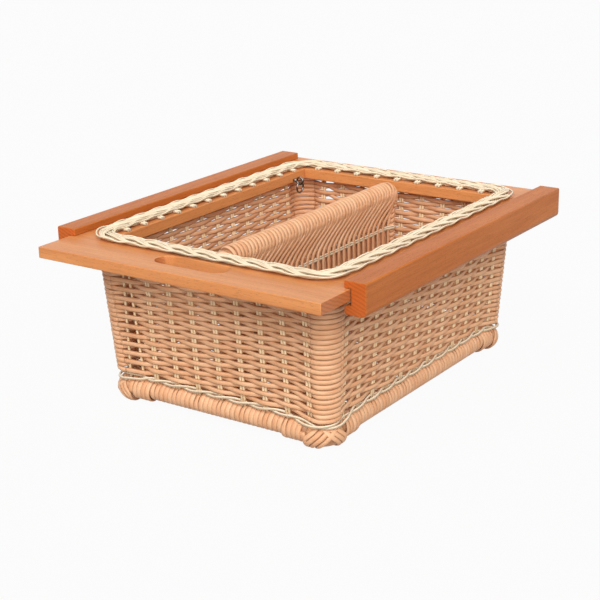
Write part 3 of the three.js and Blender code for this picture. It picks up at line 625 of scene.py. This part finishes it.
for hand in (-1, 1):
    out = BAND_MIDDLE + bulge + BAND_SWING * hand * np.cos(math.pi * count)
    level = BAND_LEVEL - drop + hand * (BAND_RISE * np.sin(math.pi * count) - fork)
    path = path_beside(spots, facings, out, level)
    twine.append(strand(path, UP, BAND_CANE, BAND_CANE, closed=True, start=new_start()))
woven("twined_cane_band", twine, cane, "basket", "cane", "twined_band")


# Base. Reed woven in bands of four across thick sticks that run from front to back, its ends tucked
# in behind the wrapped foot.
BASE_LEVEL, BASE_BEND, BASE_SWING = 21, 14, 2.0
STICK_PITCH, STICK_REACH, STICK_CORNER, STICK_WIDE, STICK_HIGH = 29.5, 178.5, 112, 2.3, 1.9
WEFTS, BAND_OF, WEFT_BACK, WEFT_REACH, WEFT_CORNER = 60, 4, 174.6, 131.5, 163
WEFT_WIDE, WEFT_HIGH = 2.98, 1.9
sticks = []
for across in STICK_PITCH * np.arange(-4, 5):
    reach = STICK_REACH - max(0, abs(across) - STICK_CORNER)
    back = MIDDLE_Y + np.linspace(-reach, reach, 20)
    path = np.column_stack([np.full_like(back, across), back, np.full_like(back, BASE_LEVEL)])
    sticks.append(strand(path, UP, STICK_WIDE, STICK_HIGH, start=new_start()))
weft = []
for number in range(WEFTS):
    back = -WEFT_BACK + 2 * WEFT_BACK * number / (WEFTS - 1)
    past = max(0, abs(back) - WEFT_CORNER)
    reach = WEFT_REACH - BASE_BEND + math.sqrt(max(0, BASE_BEND ** 2 - past * past))
    across = np.linspace(-reach, reach, 73)
    level = BASE_LEVEL + BASE_SWING * np.cos(math.pi * (across / STICK_PITCH + number // BAND_OF + 1))
    path = np.column_stack([across, np.full_like(across, MIDDLE_Y + back), level])
    weft.append(strand(path, UP, WEFT_WIDE, WEFT_HIGH, start=new_start()))
woven("base_weave", sticks + weft, reed, "basket", "reed", "base")


# Screw eye and ring. Bright plated wire: an eye screwed into the left board's inner edge, and the
# ring that hangs in it.
EYE_X, EYE_Y, EYE_LEVEL, EYE_RADIUS, EYE_WIRE = -128.8, 172, 184.5, 4.5, 1.4
RING_LEVEL, RING_RADIUS, RING_WIRE = 176.2, 7, 1.2
COLLAR_X = np.array([-138.9, -138.6, -138.2, -137.4, -136.2, -135.2, -134.4, -133.6, -133.2])
COLLAR_GIRTH = np.array([1.5, 1.9, 2.15, 2.45, 2.5, 2.35, 1.9, 1.5, 1.4])


def plated_finish():
    material, start, shader = new_finish("plated steel", {"Metallic": 1})
    haze = start.node("ShaderNodeTexCoord", out="Object").noise(700, 3)
    haze.between(0.3, 0.7).mix(paint(138, 134, 130), paint(112, 108, 105)).into(shader, "Base Color")
    (0.14 + haze * 0.14).into(shader, "Roughness")
    return material


plated = plated_finish()
around = np.linspace(0, 2 * math.pi, 49)[:-1]
path = np.column_stack([EYE_X + EYE_RADIUS * np.cos(around), np.full_like(around, EYE_Y),
                        EYE_LEVEL + EYE_RADIUS * np.sin(around)])
eye = strand(path, (0, 1, 0), EYE_WIRE, EYE_WIRE, 12, closed=True)
path = np.column_stack([COLLAR_X, np.full_like(COLLAR_X, EYE_Y), np.full_like(COLLAR_X, EYE_LEVEL)])
collar = strand(path, UP, COLLAR_GIRTH, COLLAR_GIRTH, 20)
woven("eye_wire", [eye, collar], plated, "basket", "steel", "screw_eye")
path = np.column_stack([np.full_like(around, EYE_X), EYE_Y + RING_RADIUS * np.cos(around),
                        RING_LEVEL + RING_RADIUS * np.sin(around)])
ring = strand(path, (1, 0, 0), RING_WIRE, RING_WIRE, 12, closed=True)
woven("ring_wire", [ring], plated, "ring", "steel", "hanging_ring")


# Divider. A rod bent down at both ends and wrapped with reed, on a panel of upright reeds that come
# off the wrapping on both flanks, between two bound posts, with one row of twined cane.
FROM_SIDE = (1, 0, 0)
ROLL_REACH, ROLL_LEVEL, ROLL_BEND, ROLL_TAIL = 161, 185.5, 14, 6
ROLL_LIMIT = ROLL_REACH + ROLL_BEND * math.pi / 2 + ROLL_TAIL
ROLL_GIRTH, CORE_GIRTH, END_SLIMMER, END_CLOSER = 13, 10.2, 5, 2.3
ROLL_WIDE, ROLL_THICK = 0.475, 1.9
PAIRS, MORE_PAIRS, PAIR_PITCH, FIRST_PAIR = 30, 3, 11.2, -162.6
LEVELS = np.array([187, 183, 179, 175, 171, 167, 163, 159, 155, 151, 147, 143, 127, 102, 77, 52, 26])
SHORT = 12
FLANK, FALL_FROM, FALL_OVER = 11.4, 188, 40
UPRIGHT_LEAN, LEAN_FROM, LEAN_OVER = 32, 145, 36
UPRIGHT_WIDE, UPRIGHT_THICK = 2.05, 1.5
PROUD_REED, INNER_REED = (2.4, -2.1, 0.0, 0.85), (-0.4, 2.1, 5.4, 0.2)
CROWD_FROM, CROWD_ROOM = 160, 6
POST_SIDE, POST_FADE, POST_SHIFT = 145, 15, 3.5
POST_LOW, POST_TOP, POST_BACK, POST_LEAN = 27, 169, 170.7, 4.2
POST_RADIUS, POST_LINE = 4.0, ((174.9, 170), (172.9, 107), (170.7, 25.5))
TURN_RADIUS, TURN_WIDE, TURN_THICK, TURN_PEAK = 4.7, 2.8, 1.3, 5.0
ROW_FRONT, ROW_BACK, ROW_OUT, ROW_WIDER = -166, 174, 2.6, 4.4
ROW_LEVELS, ROW_CANE = (137.7, 140.3), 1.25


def hoop_place(run):
    """Points and outward directions, front to back and up, along the bent rod's middle line."""
    flat_run = np.clip(run, -ROLL_REACH, ROLL_REACH)
    angle = np.clip((run - flat_run) / ROLL_BEND, -math.pi / 2, math.pi / 2)
    past = np.abs(run - flat_run - angle * ROLL_BEND)
    back = MIDDLE_Y + flat_run + ROLL_BEND * np.sin(angle)
    level = ROLL_LEVEL - ROLL_BEND + ROLL_BEND * np.cos(angle) - past
    return np.column_stack([0 * run, back, level]), np.column_stack([0 * run, np.sin(angle), np.cos(angle)])


def bent_down(run):
    """0 along the straight of the rod, up to 1 at the tips of its bent ends."""
    return np.clip((np.abs(run) - ROLL_REACH) / (ROLL_LIMIT - ROLL_REACH), 0, 1)


run = np.linspace(-ROLL_LIMIT, ROLL_LIMIT, 1700)
bent = bent_down(run)
girth = ROLL_GIRTH - END_SLIMMER * bent ** 1.3
pitch = WRAP_PITCH - END_CLOSER * np.clip(bent * 3, 0, 1)
angle = np.cumsum(2 * math.pi / pitch) * (run[1] - run[0])
middle, outward = hoop_place(run)
round_rod = outward * np.sin(angle)[:, None] + np.outer(np.cos(angle), FROM_SIDE)
path = middle + round_rod * (girth - ROLL_THICK)[:, None]
wrap = strand(path, round_rod, ROLL_WIDE * pitch, ROLL_THICK, 10, start=2100)
woven("divider_wrap", [wrap], reed, "divider", "reed", "divider_roll")
run = np.linspace(-ROLL_LIMIT, ROLL_LIMIT, 90)
girth = CORE_GIRTH - END_SLIMMER * bent_down(run) ** 1.3
middle, _ = hoop_place(run)
woven("divider_rod", [strand(middle, FROM_SIDE, girth, girth, 24, start=300)],
      reed, "divider", "reed", "divider_core")

# The uprights leave each flank slanting and turn plumb below. Those that others hide further down,
# and the added ones that fill the panel's upper corners, stop just above the row of cane.
uprights = []
fall = np.clip((FALL_FROM - LEVELS) / FALL_OVER, 0, 1)
ease = 0.5 - 0.5 * np.cos(math.pi * fall)
lean = UPRIGHT_LEAN * np.clip((LEVELS - LEAN_FROM) / LEAN_OVER, 0, 1)
above_foot = np.clip((LEVELS - POST_LOW) / (LEVELS[SHORT - 1] - POST_LOW), 0, 1)
for hand in (-1, 1):
    first = 0 if hand < 0 else -MORE_PAIRS
    for pair in range(first, first + PAIRS + MORE_PAIRS):
        for proud in (False, True):
            inner, top, low, wider = PROUD_REED if proud else INNER_REED
            out = hand * (FLANK + (inner - FLANK) * ease)
            back = FIRST_PAIR + PAIR_PITCH * pair + top + (low - top) * ease + hand * lean
            beside_post = np.clip((np.abs(back) - POST_SIDE) / POST_FADE, 0, 1) * above_foot
            crowd = np.maximum(np.abs(back) - CROWD_FROM, 0)
            squeezed = CROWD_ROOM * (1 - np.exp(-crowd / CROWD_ROOM))
            apart = np.minimum(np.abs(back), CROWD_FROM) + squeezed + POST_SHIFT * beside_post
            path = np.column_stack([out, MIDDLE_Y + np.sign(back) * apart, LEVELS])
            if (not proud and hand < 0) or not 0 <= pair < PAIRS:
                path = path[:SHORT]
            wide = UPRIGHT_WIDE + wider * ease[:len(path)]
            uprights.append(strand(path, FROM_SIDE, wide, UPRIGHT_THICK, start=new_start()))
woven("divider_uprights", uprights, reed, "divider", "reed", "divider_panel")

around = np.linspace(0, 2 * math.pi, 25)[:-1]
round_post = np.column_stack([np.cos(around), np.sin(around), 0 * around])
peak = TURN_PEAK * np.abs(np.sin(around / 2 + math.pi / 8)) - TURN_PEAK / 2
for name, hand in (("front", -1), ("back", 1)):
    path = [(0, MIDDLE_Y + hand * back, level) for back, level in POST_LINE]
    binding = [strand(path, FROM_SIDE, POST_RADIUS, POST_RADIUS, 12)]
    for level in np.arange(28.5, 167, 6.0):
        back = MIDDLE_Y + hand * (POST_BACK + POST_LEAN * (level - POST_LOW) / (POST_TOP - POST_LOW))
        path = np.array([0, back, level]) + TURN_RADIUS * round_post
        path[:, 2] += peak
        binding.append(strand(path, round_post, TURN_WIDE, TURN_THICK, closed=True, start=new_start()))
    woven(f"divider_{name}_binding", binding, reed, "divider", "reed", f"divider_{name}_post")

row = []
back = np.linspace(ROW_FRONT, ROW_BACK, 130)
out = ROW_OUT + ROW_WIDER * np.clip((back - 161) / 11, 0, 1)
for hand in (-1, 1):
    for level in ROW_LEVELS:
        path = np.column_stack([hand * out, MIDDLE_Y + back, np.full_like(back, level)])
        row.append(strand(path, UP, ROW_CANE, ROW_CANE, 7, start=new_start()))
woven("divider_twined_row", row, cane, "divider", "cane", "divider_band")


# Stage. A plain pale floor, even white surroundings, a broad soft lamp over the camera and a weaker,
# higher one in front of the basket, with the camera where the photograph was taken from.
FLOOR = [(-9, -9, 0), (9, -9, 0), (9, 9, 0), (-9, 9, 0)]
WHITE = (1, 1, 1, 1)
LAMPS = (("soft lamp", 2.65, 45, (0.57, -0.63, 0.56)), ("high lamp", 0.9, 40, (-0.12, -0.62, 0.78)))


def seen_directly(start):
    """1 for what the camera sees, straight, mirrored or through glass, and 0 for light on the object."""
    rays = [start.node("ShaderNodeLightPath", out=f"Is {kind} Ray")
            for kind in ("Camera", "Glossy", "Transmission")]
    every = rays[0] + rays[1] + rays[2]
    return every.math("MINIMUM", every, 1)


def floor_finish():
    material, start, shader = new_finish("pale floor", {"Roughness": 0.9, "Specular IOR Level": 0})
    dust = start.node("ShaderNodeTexCoord", out="Object").noise(3, 3)
    dust.mix(paint(160, 160, 160), paint(166, 166, 166)).into(shader, "Base Color")
    glow = start.node("ShaderNodeEmission", {"Color": WHITE, "Strength": 1})
    lit = Shade(material.node_tree, shader.outputs[0])
    both = start.node("ShaderNodeMixShader", {0: seen_directly(start) * 0.95, 1: lit, 2: glow})
    both.into(material.node_tree.nodes["Material Output"], "Surface")
    return material


floor_mesh = bpy.data.meshes.new("floor")
floor_mesh.from_pydata(FLOOR, [], [(0, 1, 2, 3)])
floor_mesh.materials.append(floor_finish())
floor = bpy.data.objects.new("floor", floor_mesh)
bpy.context.scene.collection.objects.link(floor)

world = bpy.data.worlds.new("white surroundings")
world.use_nodes = True
bpy.context.scene.world = world
sky = Shade(world.node_tree)
(0.36 + seen_directly(sky) * 0.64).into(world.node_tree.nodes["Background"], "Strength")
world.node_tree.nodes["Background"].inputs["Color"].default_value = WHITE

for name, power, width, towards in LAMPS:
    lamp = bpy.data.objects.new(name, bpy.data.lights.new(name, "SUN"))
    lamp.data.energy = power
    lamp.data.angle = math.radians(width)
    lamp.rotation_mode = "QUATERNION"
    lamp.rotation_quaternion = Vector(towards).to_track_quat("Z", "Y")
    bpy.context.scene.collection.objects.link(lamp)

azimuth, elevation, roll = math.radians(34.9205), math.radians(18.6167), math.radians(-1.1538)
backward = Vector((math.sin(azimuth) * math.cos(elevation), -math.cos(azimuth) * math.cos(elevation),
                   math.sin(elevation)))
level_right = Vector((math.cos(azimuth), math.sin(azimuth), 0))
level_up = backward.cross(level_right)
right = math.cos(roll) * level_right + math.sin(roll) * level_up
upward = math.cos(roll) * level_up - math.sin(roll) * level_right
camera = bpy.data.objects.new("camera", bpy.data.cameras.new("camera"))
camera.data.lens = 87.0426
camera.data.sensor_width = 36
camera.matrix_world = Matrix.Translation((0.9248, -1.3425, 0.6419)) @ Matrix(
    (right, upward, backward)).transposed().to_4x4()
bpy.context.scene.collection.objects.link(camera)
bpy.context.scene.camera = camera
bpy.context.scene.view_settings.view_transform = "Standard"
